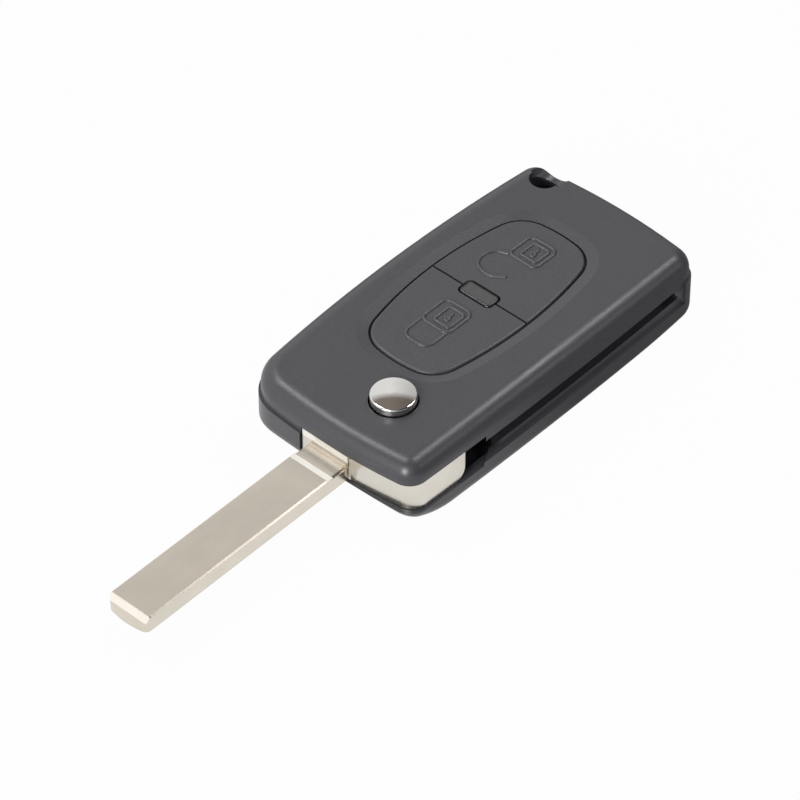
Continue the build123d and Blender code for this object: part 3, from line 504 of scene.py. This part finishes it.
# %% [markdown]
# ## Studio
# The photograph has a white ground and soft light from behind, with a dark room at the right, which
# the chrome button shows in its lower half. The floor is plain white to the camera, mixed with a
# little ordinary paper so that a faint shadow stays. Reflections see it fade from the left to the
# right, or the case's right side would shine. The world's light is white from the horizon to about
# 44 degrees up, fades to a warm grey by 50 degrees, and falls to a tenth at the right front.

# %% Floor and world
FLOOR_HALF, FLOOR_GAP = 3, 0.02 * MM
WHITE_SHARE = 0.97
FADE_START, FADE_END = -22 * MM, 6 * MM
MIRRORED_LEFT, MIRRORED_RIGHT = 0.95, 0.25
WHITE_UP_TO, GREY_FROM = 0.69, 0.77
DARK_SIDE = (0.6, -0.8, 0)
DARK_START, DARK_END, DARKEST = -0.1, 0.5, 0.1

floor_white, tree, surface, place = start_material("white paper", Roughness=0.9)
fibres = add(tree, "ShaderNodeTexNoise", {"Vector": place, "Scale": 400.0})
bump = add(tree, "ShaderNodeBump", {"Height": fibres.outputs["Fac"], "Distance": 0.02 * MM})
feed(tree, surface, {"Base Color": linear("#a8a8a8"), "Normal": bump.outputs[0]})
rays = add(tree, "ShaderNodeLightPath").outputs
seen = maths(tree, "MAXIMUM", rays["Is Camera Ray"], rays["Is Glossy Ray"])
seen = maths(tree, "MAXIMUM", seen, rays["Is Transmission Ray"])
across = add(tree, "ShaderNodeSeparateXYZ", {0: place}).outputs["X"]
mirrored = ranged(tree, across, FADE_START, FADE_END, MIRRORED_LEFT, MIRRORED_RIGHT)
level = ranged(tree, rays["Is Camera Ray"], 0.0, 1.0, mirrored, 1.0)
white = add(tree, "ShaderNodeEmission", {"Color": (1, 1, 1, 1), "Strength": level})
both = add(tree, "ShaderNodeMixShader", {0: maths(tree, "MULTIPLY", seen, WHITE_SHARE),
                                         1: surface.outputs[0], 2: white.outputs[0]})
feed(tree, find(tree, "OUTPUT_MATERIAL"), {"Surface": both.outputs[0]})
sheet = bpy.data.meshes.new("floor")
sheet.from_pydata([(x, y, 0) for x, y in box_path(-FLOOR_HALF, FLOOR_HALF, -FLOOR_HALF, FLOOR_HALF)],
                  [], [(0, 1, 2, 3)])
sheet.materials.append(floor_white)
floor = bpy.data.objects.new("floor", sheet)
bpy.context.scene.collection.objects.link(floor)
floor.location.z = cad_box[0].z - FLOOR_GAP

world = bpy.data.worlds.new("room")
bpy.context.scene.world = world
world.use_nodes = True
tree = world.node_tree
tree.nodes.clear()
direction = add(tree, "ShaderNodeTexCoord").outputs["Generated"]
height = add(tree, "ShaderNodeSeparateXYZ", {0: direction}).outputs["Z"]
fade = add(tree, "ShaderNodeValToRGB", {"Fac": height})
stops = fade.color_ramp.elements
stops[0].position, stops[0].color = WHITE_UP_TO, linear("#f6f6f6")
stops[1].position, stops[1].color = GREY_FROM, linear("#867d77")
sideways = add(tree, "ShaderNodeVectorMath", {0: direction, 1: DARK_SIDE}, operation="DOT_PRODUCT")
dimmer = ranged(tree, sideways.outputs["Value"], DARK_START, DARK_END, 1.0, DARKEST)
dimmed = mix(tree, 1.0, fade.outputs[0], dimmer, "MULTIPLY")
rays = add(tree, "ShaderNodeLightPath").outputs
room = mix(tree, rays["Is Camera Ray"], dimmed, (1, 1, 1, 1))
sky = add(tree, "ShaderNodeBackground", {"Color": room, "Strength": 1.0})
add(tree, "ShaderNodeOutputWorld", {"Surface": sky.outputs[0]})


# %% [markdown]
# A soft box shows up in a rounded edge where the edge faces halfway between lamp and camera. So each
# lamp stands where one edge needs it, which is easier than trying places by eye. The two behind draw
# the long highlights along the case's front and right edges, and the one at the right front draws
# the blade's chamfer. One at the left lights the faces at the blade's end. A last one only fills the
# slot with light: it is hidden from reflections, because it would draw a second highlight.

# %% Lamps
AIM = Vector((0, 0, 10)) * MM


def soft_box(name, place, size, watts, mirrored=True):
    """A square area lamp aimed at the key, which glossy surfaces mirror or don't."""
    lamp = bpy.data.lights.new(name, "AREA")
    lamp.size = size
    lamp.energy = watts
    box = bpy.data.objects.new(name, lamp)
    bpy.context.scene.collection.objects.link(box)
    box.location = place
    box.rotation_euler = (AIM - Vector(place)).to_track_quat("-Z", "Y").to_euler()
    box.visible_glossy = mirrored


soft_box("left rear", (-0.03, 0.47, 0.82), size=0.32, watts=3.1)
soft_box("right rear", (0.51, -0.07, 0.80), size=0.28, watts=2.7)
soft_box("right front", (0.42, -0.56, 0.39), size=0.20, watts=0.35)
soft_box("slot fill", (0.40, -0.44, 0.56), size=0.20, watts=0.9, mirrored=False)
soft_box("left", (-0.75, -0.15, 0.40), size=0.40, watts=7.0)
bpy.context.scene.view_settings.view_transform = "Standard"


# %% [markdown]
# ## Bring the scene up to date
# The dressed key must stay as large as the frame. The last step brings the scene up to date.

# %% Finish
bpy.context.view_layer.update()
